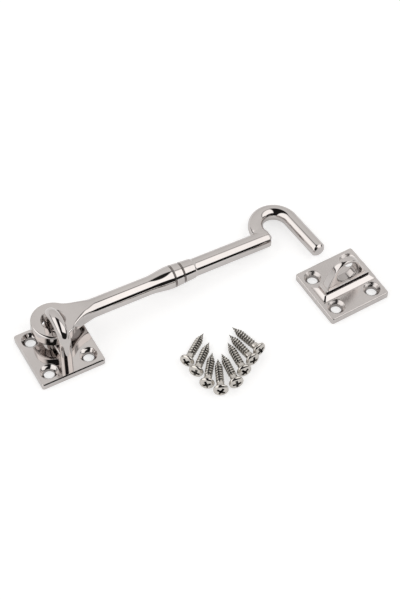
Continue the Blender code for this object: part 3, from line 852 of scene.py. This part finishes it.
@dataclass
class MountingPlate:
    """A square plate with four countersunk holes, and two sunk bores from behind.

    Sizes are in millimetres, from the middle of the underside.
    """

    name: str
    node: str
    place: Matrix
    bores: tuple[tuple[float, float], ...]
    finish: MetalFinish = POLISHED_NICKEL
    side: float = 33.6
    thickness: float = 3.6
    corner: float = 1.3
    edge_in: float = 0.42
    edge_down: float = 0.55
    chamfered: bool = False
    hole_pitch: float = 21.1
    hole_radius: float = 2.7
    rim_radius: float = 4.25
    lip: float = 0.16
    bore_radius: float = 1.8
    bore_sink: float = 3.0

    def outline(self, inset: float) -> np.ndarray:
        """Return one quarter's border: in from the middle, round the outer corner and back.

        Args:
            inset: distance inside the plate's full outline.

        Returns:
            (count, 2) points; the first and last steps lie on the plate's middle lines.
        """
        half = self.side / 2.0 - inset
        corner = max(self.corner - inset, 0.2)
        flat = half - corner
        turn = np.linspace(0.0, math.pi / 2.0, 9)[1:-1]
        arc = np.column_stack((flat + corner * np.cos(turn), flat + corner * np.sin(turn)))
        ramp = np.linspace(0.0, 1.0, 21)
        right = np.column_stack((np.full(21, half), flat * ramp))
        top = np.column_stack((flat * (1.0 - ramp), np.full(21, half)))
        return np.vstack((right, arc, top))

    def loop(self, inset: float) -> np.ndarray:
        """Return the border of one quarter of a face: its outline and the middle lines.

        Args:
            inset: the border's distance inside the full outline.

        Returns:
            (count, 2) points, anticlockwise.
        """
        half = self.side / 2.0 - inset
        back = np.linspace(1.0, 0.0, 21)[1:]
        side = np.column_stack((np.zeros(20), half * back))
        base = np.column_stack((half * (1.0 - back), np.zeros(20)))[:-1]
        return np.vstack((self.outline(inset), side, base))

    def rays(self) -> np.ndarray:
        """Return the directions from the hole's middle in which every ring has its points."""
        ray = self.loop(self.edge_in) - self.hole_pitch / 2.0
        return ray / np.linalg.norm(ray, axis=1)[:, None]

    def face(self, height: float, inset: float, radius: float) -> Skin:
        """Return one quarter of a flat face, from its hole out to the border.

        Each line runs straight from the hole's circle to a point on the border.

        Args:
            height: the face's height.
            inset: the border's distance inside the full outline.
            radius: the hole's radius in that face.
        """
        loop = self.loop(inset)
        middle = self.hole_pitch / 2.0
        ray = self.rays()
        share = np.array((0.0, 0.04, 0.12, 0.3, 0.5, 0.7, 0.85, 0.95, 1.0))[:, None, None]
        plan = (middle + radius * ray)[None] * (1.0 - share) + loop[None] * share
        flat = np.full(plan.shape[:2] + (1,), height)
        points = np.concatenate((plan, flat), axis=-1)
        return woven(points * MM, points[:, :, 0] + 0.15 * points[:, :, 1], 0.0, wrap=True)

    def hole(self) -> Skin:
        """Return one hole's wall: a rounded lip, the countersink's cone and a straight bore."""
        ray = self.rays()
        depth = self.thickness - (self.rim_radius - self.hole_radius)
        profile = np.array(((self.rim_radius + self.lip, self.thickness),
                            (self.rim_radius + 0.45 * self.lip, self.thickness - 0.04),
                            (self.rim_radius, self.thickness - 0.14),
                            (self.rim_radius - 0.4 * (self.rim_radius - self.hole_radius),
                             self.thickness - 0.14 - 0.4 * (self.thickness - 0.14 - depth)),
                            (self.hole_radius + 0.10, depth + 0.06),
                            (self.hole_radius, depth - 0.12),
                            (self.hole_radius, 0.12),
                            (self.hole_radius + 0.12, 0.0)))
        plan = self.hole_pitch / 2.0 + profile[:, 0, None, None] * ray[None]
        height = np.broadcast_to(profile[:, 1, None, None], plan.shape[:2] + (1,))
        # painted shade: the countersink's wall and bore get recess values, which darken them
        deep = np.array((0.0, 0.0, 0.05, 0.1, 0.2, 0.5, 0.6, 0.4))[:, None]
        return woven(np.concatenate((plan, height), axis=-1) * MM,
                     profile[:, 1, None] * 3.0, deep, wrap=True)

    def rim(self) -> Skin:
        """Return one quarter of the plate's edge: a soft shoulder, the side and a fine foot."""
        turn = np.linspace(0.0, math.pi / 2.0, 7)
        inward, down = 1.0 - np.sin(turn), 1.0 - np.cos(turn)
        if self.chamfered:
            inward, down = np.array(((1.0, 0.93, 0.07, 0.0), (0.0, 0.02, 0.93, 1.0)))
        insets = np.concatenate((self.edge_in * inward, (0.0, 0.0, 0.0, 0.12)))
        heights = np.concatenate((self.thickness - self.edge_down * down,
                                  (2.2, 1.0, 0.12, 0.0)))
        rows = [np.column_stack((self.outline(inset), np.full(len(self.outline(inset)), height)))
                for inset, height in zip(insets, heights)]
        points = np.stack(rows)
        return woven(points * MM, points[:, :, 2] * 2.0)

    def skin(self) -> Skin:
        """Return the whole plate, one quarter mirrored to the other three."""
        lower = self.face(0.0, 0.12, self.hole_radius + 0.12)
        parts = [self.face(self.thickness, self.edge_in, self.rim_radius + self.lip),
                 lower, self.hole(), self.rim()]
        return joined([part.mirrored((x, y, 1)) for part in parts
                       for x in (1, -1) for y in (1, -1)])

    def bore_tool(self, place: tuple[float, float]) -> Skin:
        """Return the shape that sinks one bore from behind.

        Args:
            place: the bore's x and y.
        """
        sink, bore = self.bore_sink, self.bore_radius
        radii = np.array((0.0, sink + 2.0, bore, bore, 0.0))
        heights = np.array((-2.0, -2.0, sink - bore, self.thickness + 2.0,
                            self.thickness + 2.0))
        # painted shade: the sunk bores' walls get a recess value of 0.7, which darkens them
        tool = turned(radii * MM, heights * MM, 40, 0.7)
        return tool.moved(Matrix.Translation((place[0] * MM, place[1] * MM, 0.0)))

    def build(self) -> None:
        """Make the plate and put it in place."""
        plate = clean_mesh(self.name, self.skin().moved(self.place))
        tools = [clean_mesh("bore", self.bore_tool(place).moved(self.place))
                 for place in self.bores]
        mesh = combined(plate, tools, Cut.REMOVE)
        add_piece(self.name, mesh, self.finish, Body.MOUNTING, (self.node,))


# Staple and keeper eye


@dataclass
class Staple:
    """The round bar bent to a bow that holds the arm's ring, with a low web between its legs.

    Sizes are in millimetres, in the row frame.
    """

    bar_radius: float = 2.95
    bend_radius: float = 8.5
    top: float = 29.1
    foot: float = 3.4
    web_top: float = 7.9
    web_half: float = 2.65
    web_round: float = 0.7

    def bow_skin(self) -> Skin:
        """Return the bow: an upright leg, half a turn and the other leg."""
        middle = self.top - self.bar_radius - self.bend_radius
        legs = np.linspace(self.foot, middle, 12)[:-1]
        turn = np.linspace(math.pi, 0.0, 73)
        y = np.concatenate((np.full(11, -self.bend_radius), self.bend_radius * np.cos(turn),
                            np.full(11, self.bend_radius)))
        z = np.concatenate((legs, middle + self.bend_radius * np.sin(turn), legs[::-1]))
        up = np.concatenate((np.ones(11), -np.cos(turn), -np.ones(11)))
        across = np.concatenate((np.zeros(11), np.sin(turn), np.zeros(11)))
        path = np.column_stack((np.zeros(len(y)), y, z))
        tangents = np.column_stack((np.zeros(len(y)), across, up))
        path = np.vstack((path[:1], path, path[-1:]))
        tangents = np.vstack((tangents[:1], tangents, tangents[-1:]))
        radii = np.full(len(path), self.bar_radius)
        radii[[0, -1]] = 0.0
        return bar(path * MM, tangents, radii * MM, np.array((1.0, 0.0, 0.0)), 72)

    def web_skin(self) -> Skin:
        """Return the web: a rounded upright slab between the legs' middles."""
        turn = np.linspace(0.0, math.pi / 2.0, 7)
        x = self.web_half - self.web_round * (1.0 - np.cos(turn))
        z = self.web_top - self.web_round * (1.0 - np.sin(turn))
        x = np.concatenate(((self.web_half,), x))
        z = np.concatenate(((self.foot,), z))
        loop = np.column_stack((np.concatenate((x, -x[::-1])), np.concatenate((z, z[::-1]))))
        places = np.linspace(-self.bend_radius, self.bend_radius, 9)
        section = np.column_stack((loop[:, 0], np.zeros(len(loop)), loop[:, 1]))
        rows = section[None] + places[:, None, None] * np.array((0.0, 1.0, 0.0))
        ends = [np.broadcast_to(rows[k].mean(axis=0), rows[k].shape) for k in (0, -1)]
        points = np.concatenate((ends[0][None], rows, ends[1][None]))
        # painted shade: the web gets a small recess value, which darkens it slightly
        return woven(points * MM, points[:, :, 2], 0.1, wrap=True)

    def build(self) -> None:
        """Make the staple as one closed piece."""
        bow = clean_mesh("bow", self.bow_skin())
        web = clean_mesh("web", self.web_skin())
        add_piece("staple_bow", combined(bow, [web], Cut.ADD), POLISHED_NICKEL, Body.MOUNTING,
                  ("hook_staple",))


@dataclass
class KeeperEye:
    """The flat loop that the hook drops into, thinner at its crown than at its foot.

    Sizes are in millimetres, standing over the keeper plate's middle.
    """

    place: Matrix
    shift: float = 0.95
    foot_length: float = 26.3
    foot_half: float = 2.6
    crown_half: float = 1.8
    height: float = 17.7
    base: float = 3.9
    sunk: float = 0.6
    crown_radius: float = 7.8
    hole_radius: float = 5.8
    web_height: float = 4.0
    block_half: float = 3.25
    block_height: float = 3.7
    block_fillet: float = 3.0
    end_fillet: float = 2.4
    block_round: float = 0.9
    block_edge: float = 0.25
    ramp: tuple[tuple[float, float], ...] = (
        (0.0, 1.8), (0.02, 1.35), (0.07, 1.12), (0.16, 0.98), (0.35, 0.72), (0.6, 0.38),
        (0.85, 0.09), (1.0, 0.0))

    def outline(self) -> np.ndarray:
        """Return the outer outline, anticlockwise: foot, flank, round crown, flank."""
        half = self.foot_length / 2.0
        middle = self.height - self.crown_radius
        distance = math.hypot(half, middle)
        lean = math.atan2(middle, -half) - math.asin(self.crown_radius / distance)
        length = math.sqrt(distance ** 2 - self.crown_radius ** 2)
        touch = np.array((half + length * math.cos(lean), length * math.sin(lean)))
        start = math.atan2(touch[1] - middle, touch[0])
        turn = np.linspace(start, math.pi - start, 73)
        crown = np.column_stack((np.cos(turn), np.sin(turn))) * self.crown_radius + (0.0, middle)
        share = np.linspace(0.0, 1.0, 25)[:-1, None]
        flank = np.array((half, 0.0)) * (1.0 - share) + touch * share
        wall = np.column_stack((np.full(3, half), np.linspace(-self.sunk, 0.0, 4)[:-1]))
        foot = np.column_stack((np.linspace(-half, half, 41)[:-1], np.full(40, -self.sunk)))
        left = (np.vstack((wall, flank)) * (-1.0, 1.0))[::-1]
        return np.vstack((foot, wall, flank, crown, left[:-1]))

    def hole_edge(self, outline: np.ndarray) -> np.ndarray:
        """Return the hole's point on the ray from its middle to each outline point.

        The hole is an upright slot: half rounds of the hole's radius above and below, and
        straight sides between them.
        """
        high = self.height - self.crown_radius
        low = min(self.web_height + self.hole_radius, high)
        middle, reach = (high + low) / 2.0, (high - low) / 2.0
        ray = outline - (0.0, middle)
        ray /= np.linalg.norm(ray, axis=1)[:, None]
        end = np.sign(ray[:, 1]) * reach
        length = ray[:, 1] * end + np.sqrt(self.hole_radius ** 2 - (ray[:, 0] * end) ** 2)
        return (0.0, middle) + ray * length[:, None]

    def skin(self) -> Skin:
        """Return the loop: a rounded section between outline and hole, carried round.

        The section is the superellipse |a|^p + |b|^p = 1, whose power p falls from a slab's
        at the foot to a soft bar's at the crown.
        """
        outer = self.outline()
        inner = self.hole_edge(outer)
        angle = np.linspace(0.0, 2.0 * math.pi, 49)[:-1]
        cosine, sine = np.cos(angle)[None, :], np.sin(angle)[None, :]
        share = soft_ramp(outer[:, 1] / self.height)[:, None]
        power = 9.0 + (3.2 - 9.0) * share
        a = np.sign(cosine) * np.abs(cosine) ** (2.0 / power)
        b = np.sign(sine) * np.abs(sine) ** (2.0 / power)
        middle = (outer + inner) / 2.0
        plan = middle[:, None, :] + a[:, :, None] * ((outer - inner) / 2.0)[:, None, :]
        rise = np.clip(plan[:, :, 1] / self.height, 0.0, 1.0)
        thick = b * (self.foot_half * (1.0 - rise) + self.crown_half * rise)
        points = np.stack((plan[:, :, 0] + self.shift, thick, plan[:, :, 1] + self.base), axis=-1)
        points = np.concatenate((points, points[:1]))
        # painted shade: the loop's side towards its hole gets a recess value, which darkens it
        deep = np.clip(-a * 0.5, 0.0, 0.35)
        deep = np.concatenate((deep, deep[:1]))
        lengths = np.concatenate(([0.0], np.cumsum(np.linalg.norm(np.diff(outer, axis=0), axis=1)),
                                  [0.0]))
        return woven(points * MM, lengths[:, None] + 0.0 * deep, deep, wrap=True)

    def block_row(self, along: float, across: float, height: float) -> np.ndarray:
        """Return the foot block's outline in plan: a rectangle with rounded corners.

        Args:
            along: half the block's length at this height.
            across: half its thickness there.
            height: height over the loop's foot.
        """
        corner = self.block_round
        turn = np.linspace(0.0, math.pi / 2.0, 7)
        rows = []
        for quarter, (side_x, side_y) in enumerate(((1, 1), (-1, 1), (-1, -1), (1, -1))):
            swing = turn + quarter * math.pi / 2.0
            rows.append(np.column_stack((side_x * (along - corner) + corner * np.cos(swing),
                                         side_y * (across - corner) + corner * np.sin(swing))))
        plan = np.vstack(rows) + (self.shift, 0.0)
        return np.column_stack((plan, np.full(len(plan), height + self.base)))

    def block_skin(self) -> Skin:
        """Return the foot block, which spreads to its plate over a hollow ramp.

        Rows climb the ramp, stand upright and turn in over a small round edge.
        """
        half = self.foot_length / 2.0
        edge = self.block_edge
        spread = np.linspace(1.0, 0.0, 33) ** 1.5
        rise = np.interp(spread, *np.array(self.ramp).T)
        rise = np.concatenate(((-0.25,), np.convolve(np.pad(rise, 2, "edge"),
                                                     np.full(5, 0.2), "valid")))
        spread = np.concatenate(((1.0,), spread))
        rows = [self.block_row(half + self.end_fillet * out,
                               self.block_half + self.block_fillet * out, high)
                for out, high in zip(spread, rise)]
        for tip in np.linspace(0.0, math.pi / 2.0, 6):
            inset = edge * (1.0 - math.cos(tip))
            rows.append(self.block_row(half - inset, self.block_half - inset,
                                       self.block_height - edge * (1.0 - math.sin(tip))))
        ends = [np.broadcast_to(rows[k].mean(axis=0), rows[k].shape) for k in (0, -1)]
        points = np.stack([ends[0]] + rows + [ends[1]])
        return woven(points * MM, points[:, :, 2], 0.0, wrap=True)

    def build(self) -> None:
        """Make the eye and put it on its plate."""
        loop = clean_mesh("keeper_loop", self.skin().moved(self.place))
        block = clean_mesh("keeper_block", self.block_skin().moved(self.place))
        mesh = combined(loop, [block], Cut.ADD)
        add_piece("keeper_loop", mesh, POLISHED_NICKEL, Body.MOUNTING, ("keeper_eye",))


# Screws


@dataclass
class WoodScrew:
    """A raised countersunk wood screw with a cross recess and a rolled thread.

    Sizes are in millimetres, from the head's rim, with the point at -z.
    """

    head_radius: float = 3.7
    rise: float = 1.3
    rim: float = 0.35
    shank_radius: float = 1.30
    thread_radius: float = 2.05
    length: float = 21.2
    point: float = 6.0
    pitch: float = 1.55
    plain: float = 1.6
    recess_width: float = 1.3
    recess_span: float = 4.7
    recess_depth: float = 1.7
    columns: int = 44

    def skin(self) -> Skin:
        """Return the screw: a turned head, and a shank whose radius carries the thread.

        The thread adds a ridge where height / pitch and angle / turn match, and it fades in
        under the head and out towards the point.
        """
        bend = np.linspace(0.0, math.pi / 2.0, 13)
        dome_radius = self.head_radius * np.sin(bend)
        dome_height = self.rise * np.cos(bend)
        cone = self.head_radius - self.thread_radius
        neck = -self.rim - cone
        tip = self.rise - self.length
        rows = int((neck - tip) / 0.115)
        shank_height = np.linspace(neck, tip + 0.05, rows)
        from_tip = shank_height - tip
        bare = 1.0 - soft_ramp((neck - self.plain - shank_height) / 0.6)
        core = self.shank_radius + (self.thread_radius - 0.1 - self.shank_radius) * bare
        core *= soft_ramp(0.5 + 0.5 * from_tip / self.point) ** 0.5
        core *= np.clip(from_tip / self.point, 0.03, 1.0) ** 0.62
        heights = np.concatenate((dome_height, (-self.rim,), (-self.rim - 0.5 * cone,),
                                  shank_height, (tip,)))
        radii = np.concatenate((dome_radius, (self.head_radius,),
                                (self.head_radius - 0.5 * cone,), core, (0.0,)))
        angle = np.linspace(0.0, 2.0 * math.pi, self.columns, endpoint=False)
        phase = (heights[:, None] / self.pitch - angle[None, :] / (2.0 * math.pi)) % 1.0
        ridge = np.clip(1.15 - np.abs(phase - 0.5) / 0.36, 0.0, 1.0)
        grown = soft_ramp((neck - self.plain - 0.3 - heights) / 0.8)
        fade = soft_ramp((heights - tip) / self.point)
        tall = (self.thread_radius - self.shank_radius) * grown * fade
        turned_radius = radii[:, None] + tall[:, None] * ridge
        points = np.stack((turned_radius * np.cos(angle), turned_radius * np.sin(angle),
                           np.broadcast_to(heights[:, None], turned_radius.shape)), axis=-1)
        # painted shade: the thread's valleys get a high recess value, which darkens them
        deep = grown[:, None] * (1.0 - ridge)
        return woven(points * MM, heights[:, None] * 2.0, deep, wrap=True)

    def recess_skin(self) -> Skin:
        """Return the cross recess: a cross-shaped prism that narrows to its floor."""
        half, span = self.recess_width / 2.0, self.recess_span / 2.0
        arm = np.array(((half, half), (half, span), (-half, span)))
        turns = [np.array(((math.cos(q), -math.sin(q)), (math.sin(q), math.cos(q))))
                 for q in np.arange(4) * math.pi / 2.0]
        cross = np.vstack([arm @ turn.T for turn in turns])
        floor = self.rise - self.recess_depth
        levels = ((0.0, floor), (0.5, floor), (0.72, floor + 0.45), (1.0, self.rise + 0.05),
                  (1.25, self.rise + 1.2), (0.0, self.rise + 1.2))
        rows = [np.column_stack((cross * size, np.full(len(cross), height)))
                for size, height in levels]
        # painted shade: the cross recess gets a recess value of 0.9, which paints it almost black
        return woven(np.stack(rows) * MM, 0.0, 0.9, wrap=True)

    def mesh(self) -> bpy.types.Mesh:
        """Return the screw's mesh in its own frame, with the recess cut."""
        screw = clean_mesh("wood_screw", self.skin())
        return combined(screw, [clean_mesh("recess", self.recess_skin())], Cut.REMOVE)


@dataclass
class LooseScrews:
    """The eight loose screws, each lying on its head's rim and its point.

    Attributes:
        screw: the screw that all eight repeat.
        places: head centre x and y in millimetres, and heading of the point in degrees.
        point_share: height of the point over the table, as a share of the shank's diameter.
        shank_diameter: the shank's diameter in millimetres, over the thread.
        roll_step: degrees that each screw is rolled past the one before it.
        crease: angle in degrees past which an edge of a screw stays sharp.
    """

    screw: WoodScrew
    places: tuple[tuple[float, float, float], ...] = (
        (50.6, -36.3, 38.1), (51.6, -43.7, 43.2), (52.8, -52.3, 53.9), (56.8, -58.9, 65.6),
        (65.3, -58.6, 82.0), (72.0, -54.3, 84.7), (78.7, -50.5, 95.7), (84.4, -46.9, 102.1))
    point_share: float = 0.3
    shank_diameter: float = 4.1
    roll_step: float = 37.0
    crease: float = 50.0

    def build(self) -> None:
        """Lay the eight screws on the table."""
        head = self.screw.head_radius
        reach = self.screw.length - self.screw.rise
        tilt = math.asin((head - self.point_share * self.shank_diameter) / reach)
        height = head * math.cos(tilt) + self.screw.rim * math.sin(tilt)
        model = self.screw.mesh()
        for number, (x, y, heading) in enumerate(self.places, start=1):
            roll = Matrix.Rotation(math.radians(self.roll_step * number), 4, "Z")
            turn = Euler((0.0, tilt - math.pi / 2.0, math.radians(heading))).to_matrix().to_4x4()
            place = Matrix.Translation((x * MM, y * MM, height * MM)) @ turn @ roll
            mesh = model.copy()
            mesh.transform(place)
            add_piece(f"wood_screw_{number}", mesh, SCREW_NICKEL, Body.MOUNTING,
                      (f"screw_{number}",), self.crease)
        bpy.data.meshes.remove(model)


def dress_fixings() -> None:
    """Give the machine screws behind the plates, which stay CAD nodes, their finish."""
    for name, node in frame["nodes"].items():
        if "_fixing_" in name:
            node.data.materials.clear()
            node.data.materials.append(FIXING_STEEL.material())
            LOG.info("%s: kept from the frame", name)


# Studio


@dataclass
class Studio:
    """The pale table and the soft box light round it, turned to face the camera.

    Attributes:
        azimuth, elevation: the camera's angles in degrees; 0 looks along +Y.
        distance, target: metres from the camera to the point that it looks at.
        lens, sensor: the camera's lens and sensor width in millimetres.
        floor_half, floor_drop: half the table's side in metres, and how far it lies under
            the part in millimetres.
        floor_grey, floor_glow, floor_mirrored: the table's colour, its glow to the camera,
            and the share of that glow that a reflection shows.
        softbox, wall, wall_span, side_wall, dark: levels of light, with the wall's rising
            over its span.
        wall_start, slot_left: where the dark area ends at the back and on the left.
        right_box, left_box: left and right borders of the soft boxes.
        box_foot, left_foot: how high each soft box starts, as an angle in radians.
        box_back, left_back: how far back each soft box reaches.
        side_start, side_back: where the side walls begin, and how far back they reach.
        tint: the light's colour.
    """

    azimuth: float = -28.3
    elevation: float = 52.73
    distance: float = 0.8913
    target: tuple[float, float, float] = (0.0748, -0.0045, 0.0)
    lens: float = 108.0
    sensor: float = 36.0
    floor_half: float = 1.6
    floor_drop: float = 0.05
    floor_grey: float = 0.60
    floor_glow: float = 0.62
    floor_mirrored: float = 0.65
    softbox: float = 1.45
    wall: tuple[float, float] = (0.84, 0.70)
    wall_span: tuple[float, float] = (0.2, 1.0)
    side_wall: float = 0.16
    dark: float = 0.015
    wall_start: float = 0.20
    slot_left: float = -0.22
    right_box: tuple[float, float] = (0.13, 0.74)
    left_box: tuple[float, float] = (-0.80, -0.25)
    side_start: float = 0.83
    side_back: float = 0.40
    box_foot: float = 0.70
    left_foot: float = 0.15
    box_back: float = 0.15
    left_back: float = 0.13
    tint: tuple[float, float, float] = (1.0, 0.985, 0.97)

    def add_camera(self) -> None:
        """Add the camera at the photograph's viewing angle."""
        lens = bpy.data.cameras.new("camera")
        lens.lens = self.lens
        lens.sensor_width = self.sensor
        camera = bpy.data.objects.new("camera", lens)
        bpy.context.scene.collection.objects.link(camera)
        a, e = math.radians(self.azimuth), math.radians(self.elevation)
        back = Vector((math.sin(a) * math.cos(e), -math.cos(a) * math.cos(e), math.sin(e)))
        camera.location = Vector(self.target) + back * self.distance
        camera.rotation_euler = back.to_track_quat("Z", "Y").to_euler()
        bpy.context.scene.camera = camera

    def add_floor(self) -> None:
        """Add the table top: a pale plane that shows white but keeps soft shadows."""
        s = self.floor_half
        mesh = bpy.data.meshes.new("table_top")
        low = -self.floor_drop * MM
        mesh.from_pydata([(-s, -s, low), (s, -s, low), (s, s, low), (-s, s, low)], [],
                         [(0, 1, 2, 3)])
        table = bpy.data.objects.new("table_top", mesh)
        bpy.context.scene.collection.objects.link(table)
        material = bpy.data.materials.new("pale_table")
        material.use_nodes = True
        tree = material.node_tree
        tree.nodes.clear()
        matt = tree.nodes.new("ShaderNodeBsdfDiffuse")
        matt.inputs["Color"].default_value = (*(self.floor_grey,) * 3, 1.0)
        glow = tree.nodes.new("ShaderNodeEmission")
        glow.inputs["Color"].default_value = (1.0, 1.0, 1.0, 1.0)
        path = tree.nodes.new("ShaderNodeLightPath")
        mirrored = math_node(tree, "MULTIPLY", path.outputs["Is Glossy Ray"], self.floor_mirrored)
        seen = math_node(tree, "MAXIMUM", path.outputs["Is Camera Ray"], mirrored)
        tree.links.new(math_node(tree, "MULTIPLY", seen, self.floor_glow),
                       glow.inputs["Strength"])
        both = tree.nodes.new("ShaderNodeAddShader")
        tree.links.new(matt.outputs[0], both.inputs[0])
        tree.links.new(glow.outputs[0], both.inputs[1])
        out = tree.nodes.new("ShaderNodeOutputMaterial")
        tree.links.new(both.outputs[0], out.inputs["Surface"])
        mesh.materials.append(material)

    def add_light(self) -> None:
        """Make the world a studio, seen here as a disc: the camera stands at the bottom.

        A direction (x, y, z), with x to the camera's right and z up, falls on the disc at
        (x, y) / (1 + z). A grey wall fills the far side. The camera's side is dark, and a
        soft box shines on either side of it.
        """
        world = bpy.data.worlds.new("studio")
        bpy.context.scene.world = world
        world.use_nodes = True
        tree = world.node_tree
        back = tree.nodes["Background"]
        direction = tree.nodes.new("ShaderNodeTexCoord").outputs["Generated"]
        turn = tree.nodes.new("ShaderNodeVectorRotate")
        turn.rotation_type = "Z_AXIS"
        turn.inputs["Angle"].default_value = -math.radians(self.azimuth)
        tree.links.new(direction, turn.inputs["Vector"])
        parts = tree.nodes.new("ShaderNodeSeparateXYZ")
        tree.links.new(turn.outputs[0], parts.inputs[0])
        over = math_node(tree, "ADD", parts.outputs["Z"], 1.0)
        right = math_node(tree, "DIVIDE", parts.outputs["X"], over)
        far = math_node(tree, "DIVIDE", parts.outputs["Y"], over)
        toward = math_node(tree, "MULTIPLY", parts.outputs["Y"], -1.0)
        climb = math_node(tree, "ARCTAN2", parts.outputs["Z"], toward)

        dark = self._area(tree, ((far, self.wall_start, -0.03), (right, self.slot_left, 0.03)))
        grey = range_node(tree, far, self.wall_span, self.wall)
        level = self._painted(tree, grey, dark, self.dark)
        box = self._area(tree, ((right, self.right_box[0], 0.02), (right, self.right_box[1], -0.05),
                                (climb, self.box_foot, 0.03), (far, self.box_back, -0.07)))
        level = self._painted(tree, level, box, self.softbox)
        box = self._area(tree, ((right, self.left_box[0], 0.04), (right, self.left_box[1], -0.03),
                                (climb, self.left_foot, 0.03), (far, self.left_back, -0.05)))
        level = self._painted(tree, level, box, self.softbox)
        aside = math_node(tree, "ABSOLUTE", right, 0.0)
        side = self._area(tree, ((aside, self.side_start, 0.05), (far, self.side_back, -0.08)))
        level = self._painted(tree, level, side, self.side_wall)
        path = tree.nodes.new("ShaderNodeLightPath")
        level = self._painted(tree, level, path.outputs["Is Camera Ray"], 1.0)
        back.inputs["Color"].default_value = (*self.tint, 1.0)
        tree.links.new(level, back.inputs["Strength"])

    def _area(self, tree: bpy.types.NodeTree,
              borders: tuple[tuple[bpy.types.NodeSocket, float, float], ...]
              ) -> bpy.types.NodeSocket:
        """Return 1 inside an area of the disc and 0 outside.

        Args:
            tree: the node tree.
            borders: (value, border, softness); the area lies over the border, or under it
                if the softness is negative.
        """
        total = None
        for value, border, soft in borders:
            levels = (0.0, 1.0) if soft > 0.0 else (1.0, 0.0)
            share = range_node(tree, value, (border - abs(soft), border + abs(soft)), levels,
                               soft=True)
            total = share if total is None else math_node(tree, "MULTIPLY", total, share)
        return total

    @staticmethod
    def _painted(tree: bpy.types.NodeTree, level: bpy.types.NodeSocket,
                 area: bpy.types.NodeSocket, shine: float) -> bpy.types.NodeSocket:
        """Return a light level with an area painted over it at another level.

        Args:
            tree: the node tree.
            level: the level so far.
            area: 1 inside the area and 0 outside.
            shine: the level in the area.
        """
        node = tree.nodes.new("ShaderNodeMix")
        tree.links.new(area, node.inputs["Factor"])
        tree.links.new(level, node.inputs["A"])
        node.inputs["B"].default_value = shine
        return node.outputs["Result"]

    def build(self) -> None:
        """Set up camera, table and light."""
        self.add_camera()
        self.add_floor()
        self.add_light()
        bpy.context.scene.view_settings.view_transform = "Standard"


def main() -> None:
    """Build the latch's pieces in order, then the studio."""
    logging.basicConfig(level=logging.INFO, format="%(name)s: %(message)s")
    level = Matrix.Identity(4)
    low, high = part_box("keeper_plate")
    keeper = Matrix.Translation(((low.x + high.x) / 2.0, (low.y + high.y) / 2.0, 0.0))
    keeper = keeper @ Matrix.Rotation(KEEPER_TURN, 4, "Z")
    HookArm().build()
    Staple().build()
    MountingPlate("hook_mounting_plate", "hook_plate", level, HOOK_BORES, edge_down=0.66,
                  chamfered=True).build()
    MountingPlate("keeper_mounting_plate", "keeper_plate", keeper, KEEPER_BORES,
                  BRUSHED_NICKEL, edge_in=0.65, edge_down=0.8).build()
    KeeperEye(keeper).build()
    LooseScrews(WoodScrew()).build()
    dress_fixings()
    Studio().build()


if __name__ == "__main__":
    main()
